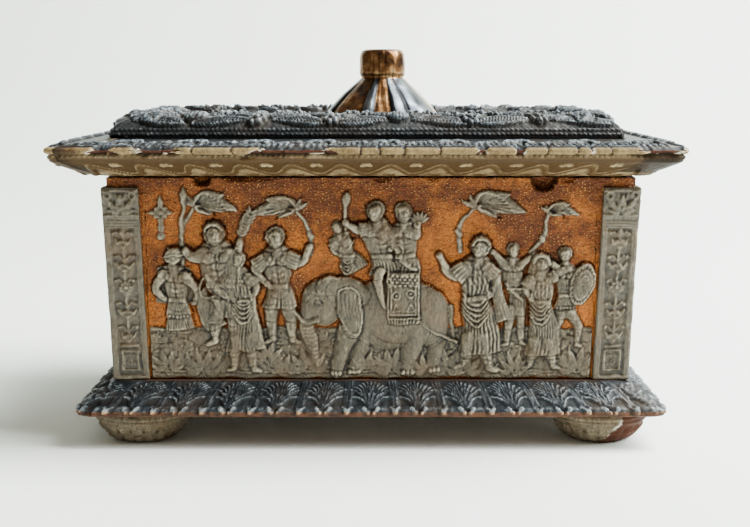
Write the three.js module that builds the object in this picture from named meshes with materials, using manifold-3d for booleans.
// A small gilded casket with cast paste reliefs: plinth on four bun feet, box of four leaning boards,
// corner pilasters, and a lift-off lid with a coved edge, four garland mouldings and a fluted knob.
// Millimetres, +Z up, origin on the ground under the middle of the casket, front towards -Y.
import * as THREE from "three";
import { mergeVertices } from "three/addons/utils/BufferGeometryUtils.js";
import Module from "manifold-3d";

const wasm = await Module();
wasm.setup();

// Driving sizes
const GAP = 0.3; // between pieces that touch
const LENGTH_OVER_DEPTH = 27; // half the length less half the depth, the same at every level
const FOOT_HEIGHT = 10.8;
const PLINTH_TOP = 20.7;
const PLINTH_HALF_LENGTH = 94.4;
const WALL_TOP = 87.0;
const LID_HALF_LENGTH = 100;
const FRAME_FOOT = 99.0; // where the garland stands on the lid
const LID_FIELD = 100.7; // the lid's middle field, inside the garland
const FRAME_OUTER = 83.0;
const FRAME_INNER = 67.0;
const BOX_ASIDE = 1.4; // the loose lid lies this far left of the box and plinth
const KNOB_ASIDE = 5.3; // and its knob stands this far right of its middle

const WALL = {
  foot: 82.1, // half the box's length at its foot, on the gilded ground
  top: 84.4, // and at its top
  thick: 7,
  height: WALL_TOP - PLINTH_TOP - 2 * GAP,
};
const LEAN = Math.atan2(WALL.top - WALL.foot, WALL.height);
const PILASTER = {
  wide: 11.7,
  thick: 1.3,
  height: 62.7,
  capital: 9.4,
  border: 1.6,
};
const TERRAIN = { height: 17.3, proud: 0.9 };

// Colours of the finishes
const FINISH = {
  gilt: { color: 0xa8642a, roughness: 0.45, metalness: 0.3 },
  paste: { color: 0x8b8172, roughness: 0.6, metalness: 0.0 },
  glaze: { color: 0x2e3844, roughness: 0.35, metalness: 0.2 },
  lid: { color: 0x9a8f7a, roughness: 0.6, metalness: 0.0 },
  knob: { color: 0x8c6a45, roughness: 0.3, metalness: 0.6 },
};

// Solids from three.js geometry, and back

function solidOf(geometry) {
  const bare = new THREE.BufferGeometry();
  bare.setAttribute("position", geometry.getAttribute("position"));
  bare.setIndex(geometry.index);
  const merged = mergeVertices(bare, 1e-4);
  return new wasm.Manifold(
    new wasm.Mesh({
      numProp: 3,
      vertProperties: merged.getAttribute("position").array,
      triVerts: new Uint32Array(merged.index.array),
    }),
  );
}

function geometryOf(solid) {
  const { vertProperties, triVerts } = solid.getMesh();
  const geometry = new THREE.BufferGeometry();
  geometry.setAttribute("position", new THREE.BufferAttribute(vertProperties, 3));
  geometry.setIndex(new THREE.BufferAttribute(triVerts, 1));
  geometry.computeVertexNormals();
  return geometry;
}

const joined = (solids) => solids.reduce((all, one) => all.add(one));

function piece(name, solid, finish) {
  const mesh = new THREE.Mesh(geometryOf(solid), new THREE.MeshStandardMaterial(FINISH[finish]));
  mesh.name = name;
  return mesh;
}

function plate(corners, thick) {
  const outline = new THREE.Shape(corners.map(([x, y]) => new THREE.Vector2(x, y)));
  return new THREE.ExtrudeGeometry(outline, { depth: thick, bevelEnabled: false });
}

const leaning = (u, v) => u + v * Math.tan(LEAN);
const degrees = (angle) => (angle * Math.PI) / 180;

// Relief forms, on a wall whose ground is the plane z = 0: x runs right and y up

// A low dome: a head, a boss or a stone
function dome(u, v, across, along, proud, tilt = 0, sides = 6) {
  const shape = new THREE.SphereGeometry(1, sides, 4).rotateX(Math.PI / 2);
  return solidOf(shape.scale(across, along, proud).rotateZ(degrees(tilt)).translate(u, v, 0));
}

// A leaf: a low faceted blade from its stalk end, pointing along tilt
function blade(u, v, length, wide, proud, tilt) {
  const shape = new THREE.SphereGeometry(1, 4, 2).rotateX(Math.PI / 2);
  shape.scale(length / 2, wide / 2, proud).translate(length / 2, 0, 0);
  return solidOf(shape.rotateZ(degrees(tilt)).translate(u, v, 0));
}

// A tapered limb from one point to another
function limb([u0, v0], [u1, v1], r0, r1, proud, sides = 6) {
  const length = Math.hypot(u1 - u0, v1 - v0);
  const shape = new THREE.CylinderGeometry(r1, r0, length, sides);
  shape.scale(1, 1, proud / Math.max(r0, r1)).translate(0, length / 2, 0);
  shape.rotateZ(Math.atan2(v1 - v0, u1 - u0) - Math.PI / 2);
  return solidOf(shape.translate(u0, v0, 0));
}

// A clothed body in one: shoulders, waist and a pleated skirt or robe down to its hem
function clothedBody([u0, v0], [u1, v1], { shoulder, waist, hem, proud }) {
  const length = Math.hypot(u1 - u0, v1 - v0);
  const profile = [
    [0, -length],
    [hem, -length],
    [waist, -0.42 * length],
    [shoulder, -0.06 * length],
    [0.4 * shoulder, 0],
    [0, 0],
  ];
  const folds = [0, 0.2, 0.08, 0, 0, 0]; // how deep the pleats are, row by row
  const shape = new THREE.LatheGeometry(profile.map(([r, y]) => new THREE.Vector2(r, y)), 8);
  const at = shape.getAttribute("position");
  for (let i = 0; i < at.count; i++) {
    const column = Math.floor(i / profile.length);
    const inset = 1 - (column % 2 ? folds[i % profile.length] : 0);
    at.setXYZ(i, at.getX(i) * inset, at.getY(i), (at.getZ(i) * inset * proud) / shoulder);
  }
  shape.rotateZ(Math.atan2(v0 - v1, u0 - u1) - Math.PI / 2);
  return solidOf(shape.translate(u0, v0, 0));
}

// A bent limb of two lengths; its angles are from straight down, positive to the right
function bentLimb([u, v], upper, lower, [first, second], thick, proud) {
  const step = (point, length, angle) => [
    point[0] + length * Math.sin(degrees(angle)),
    point[1] - length * Math.cos(degrees(angle)),
  ];
  const joint = step([u, v], upper, first);
  const end = step(joint, lower, second);
  return [
    limb([u, v], joint, thick, thick * 0.8, proud, 4),
    limb(joint, end, thick * 0.8, thick * 0.6, proud * 0.9, 4),
  ];
}

// A clothed figure, its parts sized as shares of its height
function figure({ at: [u, v], height: h, lean = 0, arms, dress = "tunic", proud = 2.6 }) {
  const up = (share) => [u + share * h * Math.sin(degrees(lean)), v + share * h];
  const hem = up({ tunic: 0.34, robe: 0.06, armour: 0.28 }[dress]);
  const body = { shoulder: 0.14 * h, waist: 0.1 * h, hem: 0.17 * h, proud };
  const solids = [
    dome(...up(0.91), 0.085 * h, 0.1 * h, proud * 1.1),
    clothedBody(up(0.83), hem, body),
  ];
  [-1, 1].forEach((side, i) => {
    const shoulder = [up(0.77)[0] + side * 0.13 * h, up(0.77)[1]];
    solids.push(...bentLimb(shoulder, 0.19 * h, 0.17 * h, arms[i], 0.05 * h, proud * 0.9));
    if (dress === "tunic") {
      const hip = up(0.36)[0] + side * 0.06 * h;
      const ankle = [hip + side * 0.04 * h, v];
      solids.push(limb([hip, v + 0.36 * h], ankle, 0.06 * h, 0.035 * h, proud * 0.9, 4));
    }
  });
  return solids;
}

// A rider, seen from the waist up
function rider({ at: [u, v], height: h, arms, proud = 2.4 }) {
  const solids = [
    dome(u, v + 0.86 * h, 0.2 * h, 0.22 * h, proud),
    limb([u, v], [u, v + 0.68 * h], 0.24 * h, 0.2 * h, proud * 0.85, 6),
  ];
  [-1, 1].forEach((side, i) => {
    const from = [u + side * 0.22 * h, v + 0.58 * h];
    solids.push(...bentLimb(from, 0.3 * h, 0.28 * h, arms[i], 0.09 * h, proud * 0.8));
  });
  return solids;
}

// A tree that arches over from its root to a spray of leaves
function tree({ root, bend, crown, reach, turn }) {
  const trunk = new THREE.QuadraticBezierCurve(
    new THREE.Vector2(...root),
    new THREE.Vector2(...bend),
    new THREE.Vector2(...crown),
  ).getPoints(2);
  const solids = [];
  for (let i = 1; i < trunk.length; i++) {
    solids.push(limb(trunk[i - 1].toArray(), trunk[i].toArray(), 0.9, 0.8, 1.5, 4));
  }
  for (const spread of [-32, -4, 28]) {
    solids.push(blade(...crown, reach * (1 - Math.abs(spread) / 130), 4.6, 1.8, turn + spread));
  }
  return solids;
}

// A fan of leaves on the terrain
function plant(u, v, reach) {
  return [40, 90, 140].map((angle) => blade(u, v, reach, 1.8, 1.6, angle));
}

// An elephant or a horse that walks to the left, its sizes as shares of its body's length
function beast({ at: [u, v], length: s, trunked }) {
  const point = (x, y) => [u + x * s, v + y * s];
  const part = ([x, y], across, along, proud, sides) =>
    dome(...point(x, y), across * s, along * s, proud, 0, sides);
  const bar = (from, to, r0, r1, proud, sides = 6) =>
    limb(point(...from), point(...to), r0 * s, r1 * s, proud, sides);
  const ankle = trunked ? 0.065 : 0.035;
  const legs = [
    bar([-0.3, -0.08], [-0.42, -0.5], 0.09, ankle, 2.6, 4),
    bar([-0.2, -0.1], [-0.17, -0.54], 0.09, ankle, 2.9, 4),
    bar([0.22, -0.1], [0.08, -0.5], 0.09, ankle, 2.6, 4),
    bar([0.38, -0.05], [0.4, -0.5], 0.1, ankle, 2.9, 4),
  ];
  if (trunked) {
    return [
      part([0, 0.02], 0.49, 0.34, 3.2, 10),
      ...legs,
      part([-0.66, 0.1], 0.2, 0.23, 3.1, 8),
      bar([-0.74, 0.02], [-0.78, -0.2], 0.085, 0.06, 2.6),
      bar([-0.78, -0.18], [-0.68, -0.48], 0.06, 0.035, 2.3),
      bar([-0.74, -0.06], [-0.94, -0.13], 0.028, 0.014, 1.6, 4),
      part([-0.48, 0.08], 0.1, 0.2, 3.9, 6),
    ];
  }
  return [
    part([0, 0], 0.48, 0.19, 3, 8),
    part([0.3, -0.02], 0.19, 0.25, 2.9, 6),
    ...legs,
    bar([-0.34, 0.04], [-0.56, 0.36], 0.15, 0.08, 2.7),
    bar([-0.52, 0.38], [-0.76, 0.2], 0.085, 0.045, 2.6),
    bar([0.45, 0.1], [0.6, -0.3], 0.04, 0.02, 1.6, 4),
  ];
}

// What stands on each wall, placed from the middle of the wall's foot

const SADDLE_CLOTH = new THREE.BoxGeometry(11.6, 14.6, 2).translate(9.8, 27.6, 2.6);

const FRONT_SCENE = [
  ...figure({ at: [-62.8, 5.7], height: 38.5, arms: [[-25, 50], [25, -50]], dress: "armour" }),
  ...figure({ at: [-50.7, 10.5], height: 41, arms: [[-70, -95], [60, 140]] }),
  ...figure({ at: [-42, 2.3], height: 40, arms: [[-10, 20], [12, -15]], dress: "robe", proud: 3.1 }),
  ...figure({ at: [-30.8, 8.6], height: 43, arms: [[-15, 25], [75, 150]] }),
  ...beast({ at: [9.4, 20.6], length: 36, trunked: true }),
  solidOf(SADDLE_CLOTH),
  ...rider({ at: [-10, 35], height: 17, arms: [[-20, 80], [30, 150]] }),
  ...rider({ at: [2, 37], height: 20.5, arms: [[-65, -100], [20, -40]] }),
  ...rider({ at: [10.2, 36.5], height: 19.5, arms: [[-15, 60], [60, 150]] }),
  blade(11, 43.5, 14, 4.4, 2.2, 55),
  limb([-8.4, 49], [-8.4, 59.4], 1.5, 0.9, 2.2),
  ...figure({ at: [33.9, 3.9], height: 44, arms: [[-70, -160], [55, 100]], dress: "robe" }),
  ...figure({ at: [45.2, 9], height: 36, arms: [[-40, -20], [30, 20]], proud: 2.0 }),
  ...figure({ at: [54, 2.8], height: 43, arms: [[-30, 20], [70, 95]], dress: "robe", proud: 3 }),
  ...figure({ at: [64.2, 7], height: 30, lean: 6, arms: [[-45, -80], [20, 10]] }),
  dome(67, 31.4, 3.9, 7.2, 3.6, -22, 10),
  ...tree({ root: [-60.6, 38], bend: [-61.5, 57], crown: [-53, 57], reach: 13, turn: -4 }),
  ...tree({ root: [-18.6, 42], bend: [-19.5, 52], crown: [-24, 55.5], reach: 15, turn: 166 }),
  ...tree({ root: [27.6, 42], bend: [26.8, 53], crown: [33, 56.5], reach: 16, turn: 0 }),
  ...tree({ root: [50.5, 43], bend: [56, 47], crown: [57, 53.5], reach: 11, turn: 50 }),
  limb([-60.4, 50], [-60.4, 61.5], 0.9, 1.3, 1.8),
  ...[0, 90, 180, 270].map((turn) => blade(-67.2, 54.5, 6, 2.6, 1.7, turn)),
  ...plant(-28, 2.6, 8),
  ...plant(17.5, 2.6, 9),
];

const BACK_SCENE = [
  ...figure({ at: [-55, 5], height: 41, arms: [[-20, 40], [65, 150]] }),
  ...figure({ at: [-34, 3], height: 43, arms: [[-60, -30], [20, -40]], dress: "robe", proud: 3 }),
  ...beast({ at: [2, 23], length: 36, trunked: false }),
  ...rider({ at: [3, 27.5], height: 22, arms: [[-60, -120], [30, -30]] }),
  ...figure({ at: [46, 3], height: 43, arms: [[-70, -110], [25, -30]], dress: "robe", proud: 3 }),
  ...tree({ root: [-64, 20], bend: [-66, 56], crown: [-58, 56.5], reach: 15, turn: 0 }),
  ...tree({ root: [20, 40], bend: [20, 56], crown: [14, 56.5], reach: 15, turn: 180 }),
  ...tree({ root: [66, 20], bend: [67, 56], crown: [60, 56.5], reach: 13, turn: 176 }),
  ...plant(-16, 2.6, 8),
];

const END_SCENE = [
  ...figure({ at: [-14, 4], height: 43, arms: [[-25, 40], [60, 140]] }),
  ...figure({ at: [13, 3], height: 44, arms: [[-65, -120], [30, -40]], dress: "robe", proud: 3 }),
  ...tree({ root: [-33, 10], bend: [-38, 56], crown: [-31, 56.5], reach: 14, turn: 0 }),
  ...tree({ root: [34, 10], bend: [39, 56], crown: [31, 56.5], reach: 14, turn: 178 }),
  ...plant(0, 2.6, 8),
];

// The walls: a leaning board with its ground strip, rope and relief

function wallSolid(foot, scene, reach) {
  const upright = (half, thick, z) => {
    const tip = leaning(half, WALL.height);
    const corners = [[-half, 0], [half, 0], [tip, WALL.height], [-tip, WALL.height]];
    return solidOf(plate(corners, thick).translate(0, 0, z));
  };
  const field = reach - PILASTER.wide - 2 * GAP;
  const terrain = new THREE.BoxGeometry(2 * field, TERRAIN.height - 2, 2 * TERRAIN.proud);
  const ground = solidOf(terrain.translate(0, TERRAIN.height / 2 + 1, 0));
  const rope = limb([-field, 1.3], [field, 1.3], 0.8, 0.8, 1.1);
  const relief = joined([ground, rope, ...scene]).intersect(upright(field, 10, -3));
  return upright(foot, WALL.thick, -WALL.thick).add(relief);
}

// Two holes in the top edge where hinge loops tore out
function tornEdge(solid) {
  const hole = (u, wide, deep) =>
    solidOf(
      new THREE.SphereGeometry(1, 7, 5).scale(wide, deep, 3.2).translate(u, WALL.height, -0.4),
    );
  return solid.subtract(hole(-54, 3.1, 2.9)).subtract(hole(54.9, 4.3, 4.2));
}

// A corner strip: sunk panel with a stem of leaves, necking and capital
function pilasterSolid(outer, side) {
  const { wide, thick, height, capital, border } = PILASTER;
  const slab = (inset, low, high, depth, z) => {
    const edge = (v, offset) => side * (leaning(outer, v) - offset);
    const corners = [
      [edge(low, inset), low],
      [edge(low, wide - inset), low],
      [edge(high, wide - inset), high],
      [edge(high, inset), high],
    ];
    return solidOf(plate(side > 0 ? corners.reverse() : corners, depth).translate(0, 0, z));
  };
  const shaftTop = height - capital - 1.6;
  const axis = (v) => side * (leaning(outer, v) - wide / 2);
  const leaves = [12, 32].flatMap((v) =>
    [50, 130].map((tilt) => blade(axis(v), v, 6.4, 2.4, 0.7, tilt).translate(0, 0, thick - 0.5)),
  );
  return joined([
    slab(0, 0, height, thick, 0).subtract(slab(border, border, shaftTop, thick, thick - 0.5)),
    slab(-0.2, height - capital, height, thick + 0.5, GAP / 2),
    slab(0.4, shaftTop + 0.4, shaftTop + 1.2, thick + 0.3, GAP / 2),
    ...leaves,
  ]);
}

// An upright block with rounded corners, to cut a moulding's corners
function roundedBlock(half, corner, low, high) {
  const deep = half - LENGTH_OVER_DEPTH;
  const outline = new THREE.Shape();
  outline.absarc(half - corner, deep - corner, corner, 0, Math.PI / 2);
  outline.absarc(corner - half, deep - corner, corner, Math.PI / 2, Math.PI);
  outline.absarc(corner - half, corner - deep, corner, Math.PI, 1.5 * Math.PI);
  outline.absarc(half - corner, corner - deep, corner, 1.5 * Math.PI, 2 * Math.PI);
  const block = { depth: high - low, curveSegments: 3, bevelEnabled: false };
  return solidOf(new THREE.ExtrudeGeometry(outline, block).translate(0, 0, low));
}

// One side of the box as a group: its board in the plane of the lean, and its two pilasters
function side(name, facing, foot, reach, solid) {
  const group = new THREE.Group();
  const outward = new THREE.Vector3(Math.sin(facing), -Math.cos(facing), 0);
  const right = new THREE.Vector3(Math.cos(facing), Math.sin(facing), 0);
  const up = new THREE.Vector3(0, 0, Math.cos(LEAN)).addScaledVector(outward, Math.sin(LEAN));
  const normal = new THREE.Vector3().crossVectors(right, up);
  group.setRotationFromMatrix(new THREE.Matrix4().makeBasis(right, up, normal));
  group.position.copy(outward).multiplyScalar(foot).setZ(PLINTH_TOP + GAP);
  group.add(piece(`${name}_wall`, solid, "gilt"));
  for (const [label, hand] of [["left", -1], ["right", 1]]) {
    const strip = piece(`${name}_pilaster_${label}`, pilasterSolid(reach, hand), "paste");
    strip.position.z = GAP;
    group.add(strip);
  }
  return group;
}

function box() {
  const group = new THREE.Group();
  const length = WALL.foot;
  const depth = WALL.foot - LENGTH_OVER_DEPTH;
  const endWall = depth - WALL.thick - GAP;
  const longReach = length + PILASTER.thick + GAP;
  const endReach = depth - GAP;
  const front = tornEdge(wallSolid(length, FRONT_SCENE, longReach));
  const back = wallSolid(length, BACK_SCENE, longReach);
  const ends = wallSolid(endWall, END_SCENE, endReach);
  group.add(side("front", 0, depth, longReach, front));
  group.add(side("right", Math.PI / 2, length, endReach, ends));
  group.add(side("back", Math.PI, depth, longReach, back));
  group.add(side("left", -Math.PI / 2, length, endReach, ends));
  return group;
}

// Mouldings turned round the casket: a lathe whose circle is opened out to the casket's four sides.
// A profile point is [half length, height]; swell moves a point outwards by its place on the side.
function turnedRound(profile, longSteps, endSteps, swell = () => 0) {
  const sides = [longSteps, endSteps, longSteps, endSteps];
  const walk = sides.flatMap((steps, s) =>
    Array.from({ length: steps }, (_, k) => ({ s, t: (2 * k) / steps - 1, k })),
  );
  const points = profile.map(([half, z]) => new THREE.Vector2(half, z));
  const shape = new THREE.LatheGeometry(points, walk.length);
  const at = shape.getAttribute("position");
  for (let i = 0; i <= walk.length; i++) {
    const { s, t, k } = walk[i % walk.length];
    profile.forEach(([half, z], j) => {
      const w = half ? half + swell(k, j) : 0;
      const d = half ? w - LENGTH_OVER_DEPTH : 0;
      const places = [[t * w, -d], [w, t * d], [-t * w, d], [-w, -t * d]];
      at.setXYZ(i * profile.length + j, ...places[s], z);
    });
  }
  return solidOf(shape);
}

function plinth() {
  const half = PLINTH_HALF_LENGTH - 0.1;
  const leaves = { long: 12, end: 9 }; // acanthus leaves along a long side and along an end
  const profile = [
    [0, FOOT_HEIGHT],
    [half, FOOT_HEIGHT],
    [half + 0.1, FOOT_HEIGHT + 1.8],
    [half - 1.2, FOOT_HEIGHT + 2.6],
    [half - 4, FOOT_HEIGHT + 6],
    [84.6, PLINTH_TOP],
    [0, PLINTH_TOP],
  ];
  const curl = [0, 0, 0, 0.7, 0.9, 0, 0]; // how far a leaf stands proud of the slope, row by row
  const swell = (k, j) => (k === 0 ? 0 : k % 2 ? curl[j] : -curl[j] * 0.7);
  const moulding = turnedRound(profile, 2 * leaves.long, 2 * leaves.end, swell);
  return moulding.intersect(roundedBlock(PLINTH_HALF_LENGTH, 5, FOOT_HEIGHT - 5, PLINTH_TOP + 5));
}

function foot() {
  const top = FOOT_HEIGHT - GAP;
  const profile = [[0, 0], [8.2, 0], [11.6, 1.7], [14.1, 4.4], [15.5, 7.4], [15.9, top], [0, top]];
  const shape = new THREE.LatheGeometry(profile.map(([r, z]) => new THREE.Vector2(r, z)), 12);
  return solidOf(shape.rotateX(Math.PI / 2));
}

// The lid

function lidBoard() {
  const half = LID_HALF_LENGTH;
  const under = WALL_TOP + GAP;
  const profile = [
    [0, under],
    [86, under],
    [91, under + 1.3],
    [96, under + 3.0],
    [half - 1.4, under + 5.2],
    [half - 0.9, under + 6.5],
    [half, under + 8],
    [half - 0.6, under + 9.5],
    [half - 2, under + 10],
    [91, FRAME_FOOT - 0.4],
    [FRAME_OUTER + 1, FRAME_FOOT],
    [FRAME_INNER - 0.8, FRAME_FOOT],
    [FRAME_INNER - 0.8, LID_FIELD],
    [0, LID_FIELD],
  ];
  const board = turnedRound(profile, 1, 1);
  const deep = half - LENGTH_OVER_DEPTH;
  const chip = (x, wide) =>
    solidOf(new THREE.SphereGeometry(1, 6, 4).scale(wide, 1.4, 1.5).translate(x, -deep, under + 8.8));
  const chips = [chip(-93.5, 3), chip(-80.5, 7.5), chip(-48.5, 5.5), chip(43, 2.2), chip(90, 4)];
  return chips.reduce(
    (left, cut) => left.subtract(cut),
    board.intersect(roundedBlock(half, 3.5, under - 5, under + 35)),
  );
}

// One mitred garland moulding, run along X with its outer edge towards -Y
function garland(half, bosses) {
  const outline = new THREE.Shape([
    new THREE.Vector2(0, 0),
    new THREE.Vector2(0.9, 2.2),
    new THREE.Vector2(3.2, 4.6),
    new THREE.Vector2(7.4, 6.2),
    new THREE.Vector2(12.4, 6.2),
    new THREE.Vector2(15.2, 4.4),
    new THREE.Vector2(16, 0),
  ].reverse());
  const bar = new THREE.ExtrudeGeometry(outline, { depth: 2 * half, bevelEnabled: false });
  bar.applyMatrix4(
    new THREE.Matrix4().makeBasis(
      new THREE.Vector3(0, 1, 0),
      new THREE.Vector3(0, 0, 1),
      new THREE.Vector3(1, 0, 0),
    ),
  );
  const parts = [solidOf(bar.translate(-half, 0, 0))];
  const pitch = (2 * half - 30) / (bosses - 1);
  for (let i = 0; i < bosses; i++) {
    const x = 15 - half + i * pitch;
    parts.push(dome(x, 0, 3.2, 2.8, 1.6).rotate([60, 0, 0]).translate(0, 3, 3.6));
    for (const way of [-1, 1]) {
      const leaf = blade(x + way * 3, 0, pitch / 2 - 3, 4.2, 1.6, way > 0 ? 24 : 156);
      parts.push(leaf.rotate([50, 0, 0]).translate(0, 2.6, 3.2));
    }
  }
  const mitre = plate([[GAP - half, 0], [half - GAP, 0], [half - GAP - 17, 17], [17 - half + GAP, 17]], 12);
  return joined(parts).intersect(solidOf(mitre.translate(0, 0, 0)));
}

function knob() {
  const flutes = 9;
  const base = LID_FIELD + GAP;
  const profile = [
    [0, base],
    [21.9, base],
    [22.3, base + 1.2],
    [18.3, 107.6],
    [13.6, 112.3],
    [9.3, 116.3],
    [7.5, 118],
    [8.1, 119.6],
    [7.4, 126.6],
    [5.6, 128.1],
    [0, 128.1],
  ];
  const fluted = [1, 1, 1, 1, 1, 0.5, 0, 0, 0, 0, 0];
  const steps = 3 * flutes;
  const shape = new THREE.LatheGeometry(profile.map(([r, z]) => new THREE.Vector2(r, z)), steps);
  const at = shape.getAttribute("position");
  for (let i = 0; i < at.count; i++) {
    const j = i % profile.length;
    const share = [1.02, 1.02, 0.88][Math.floor(i / profile.length) % 3];
    const scale = 1 + (share - 1) * fluted[j];
    at.setXYZ(i, at.getX(i) * scale, at.getY(i), at.getZ(i) * scale);
  }
  return solidOf(shape.rotateX(Math.PI / 2));
}

// The whole casket

const casket = new THREE.Group();
const boxOnFeet = new THREE.Group();
boxOnFeet.position.x = BOX_ASIDE;
boxOnFeet.add(piece("plinth", plinth(), "glaze"));

const footX = PLINTH_HALF_LENGTH - 18.9;
const footY = footX - LENGTH_OVER_DEPTH;
for (const [name, x, y] of [
  ["front_left", -1, -1],
  ["front_right", 1, -1],
  ["back_left", -1, 1],
  ["back_right", 1, 1],
]) {
  const bun = piece(`foot_${name}`, foot(), "paste");
  bun.position.set(x * footX, y * footY, 0);
  boxOnFeet.add(bun);
}

boxOnFeet.add(box());
casket.add(boxOnFeet);
casket.add(piece("lid_board", lidBoard(), "lid"));

for (const [name, turn, half, out] of [
  ["front", 0, FRAME_OUTER, FRAME_OUTER - LENGTH_OVER_DEPTH],
  ["right", 90, FRAME_OUTER - LENGTH_OVER_DEPTH, FRAME_OUTER],
  ["back", 180, FRAME_OUTER, FRAME_OUTER - LENGTH_OVER_DEPTH],
  ["left", 270, FRAME_OUTER - LENGTH_OVER_DEPTH, FRAME_OUTER],
]) {
  const bar = piece(`lid_garland_${name}`, garland(half, half > 60 ? 5 : 3), "glaze");
  const angle = degrees(turn);
  bar.rotation.z = angle;
  bar.position.set(out * Math.sin(angle), -out * Math.cos(angle), FRAME_FOOT + GAP);
  casket.add(bar);
}

const finial = piece("lid_knob", knob(), "knob");
finial.position.x = KNOB_ASIDE;
casket.add(finial);

export default casket;
